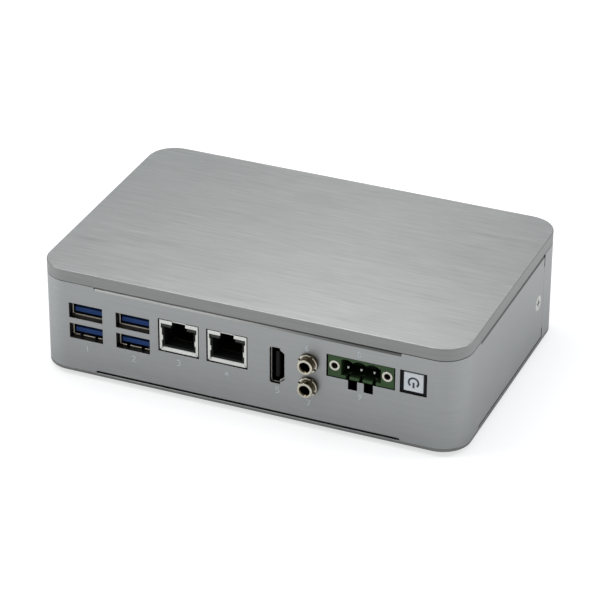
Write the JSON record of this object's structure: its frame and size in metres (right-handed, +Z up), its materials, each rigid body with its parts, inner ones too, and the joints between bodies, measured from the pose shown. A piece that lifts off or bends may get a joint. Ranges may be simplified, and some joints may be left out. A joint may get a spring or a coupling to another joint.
{
  "type": "fanless industrial pc",
  "caption": "Small fanless computer in a brushed aluminium box with a thick cooling lid, a front row of ports, a screw terminal and a push button.",
  "frame": {"origin": "under the middle of the overall box, in the plane the rubber feet stand on", "axes": "+X to the right along the front with the ports, +Y from the front to the back, +Z up"},
  "size_m": [0.168, 0.1122, 0.0446],
  "materials": {
    "brushed_lid": "brushed along the length, clear anodised",
    "brushed_wrap": "brushed along the length, clear anodised",
    "brushed_rear": "brushed, clear anodised",
    "base_metal": "satin sheet",
    "post_metal": "turned",
    "screw_steel": "nickel plated",
    "nut_steel": "zinc plated",
    "board_green": "solder mask",
    "processor_grey": "matte carrier with a polished die",
    "pad_soft": "soft filled silicone",
    "copper": "milled",
    "cage_steel": "tin plated sheet",
    "network_cage": "bright plated sheet",
    "port_black": "moulded",
    "usb_blue": "moulded",
    "contact_gold": "gold plated",
    "lamp_plastic": "translucent light pipe",
    "jack_metal": "nickel plated, turned",
    "terminal_green": "moulded",
    "pin_tin": "tin plated",
    "terminal_metal": "nickel plated",
    "switch_black": "moulded",
    "cap_white": "satin moulded with a printed sign",
    "socket_plastic": "moulded",
    "battery_steel": "nickel plated",
    "choke_grey": "pressed powder",
    "capacitor_can": "drawn can",
    "foot_rubber": "matte"
  },
  "bodies": {
    "housing": {"audio_barrel_lower": "jack_metal", "audio_barrel_upper": "jack_metal", "audio_housing": "port_black", "audio_nuts": "jack_metal", "base_plate": "base_metal", "base_screws": "screw_steel", "battery_holder": "socket_plastic", "board_screws": "screw_steel", "capacitor_1": "capacitor_can", "capacitor_2": "capacitor_can", "capacitor_3": "capacitor_can", "choke_1": "choke_grey", "choke_2": "choke_grey", "clock_battery": "battery_steel", "corner_posts": "post_metal", "front_wrap": "brushed_wrap", "heat_block": "copper", "heat_block_screws": "screw_steel", "lid": "brushed_lid", "main_board": "board_green", "memory_module": "board_green", "memory_socket": "socket_plastic", "mount_nuts": "nut_steel", "network_contacts_left": "contact_gold", "network_contacts_right": "contact_gold", "network_insert_left": "port_black", "network_insert_right": "port_black", "network_lamps_left": "lamp_plastic", "network_lamps_right": "lamp_plastic", "network_shell_left": "network_cage", "network_shell_right": "network_cage", "processor": "processor_grey", "rear_wrap": "brushed_rear", "rubber_foot_1": "foot_rubber", "rubber_foot_2": "foot_rubber", "rubber_foot_3": "foot_rubber", "rubber_foot_4": "foot_rubber", "side_screws": "screw_steel", "storage_module": "board_green", "storage_posts": "nut_steel", "storage_screws": "screw_steel", "storage_socket": "socket_plastic", "switch_dome": "cage_steel", "switch_housing": "switch_black", "terminal_header": "terminal_green", "terminal_nuts": "terminal_metal", "terminal_pins": "pin_tin", "thermal_pad": "pad_soft", "usb_contacts_left": "contact_gold", "usb_contacts_right": "contact_gold", "usb_insert_left": "usb_blue", "usb_insert_right": "usb_blue", "usb_shell_left": "cage_steel", "usb_shell_right": "cage_steel", "video_contacts": "contact_gold", "video_insert": "port_black", "video_shell": "cage_steel"},
    "button": {"switch_cap": "cap_white"}
  },
  "joints": [
    {"name": "button_press", "type": "slide", "parent": "housing", "child": "button", "axis": [0, 1, 0], "range_m": [0, 0.0008], "stiffness_N_per_m": 1500, "springref_m": -0.0004}
  ]
}
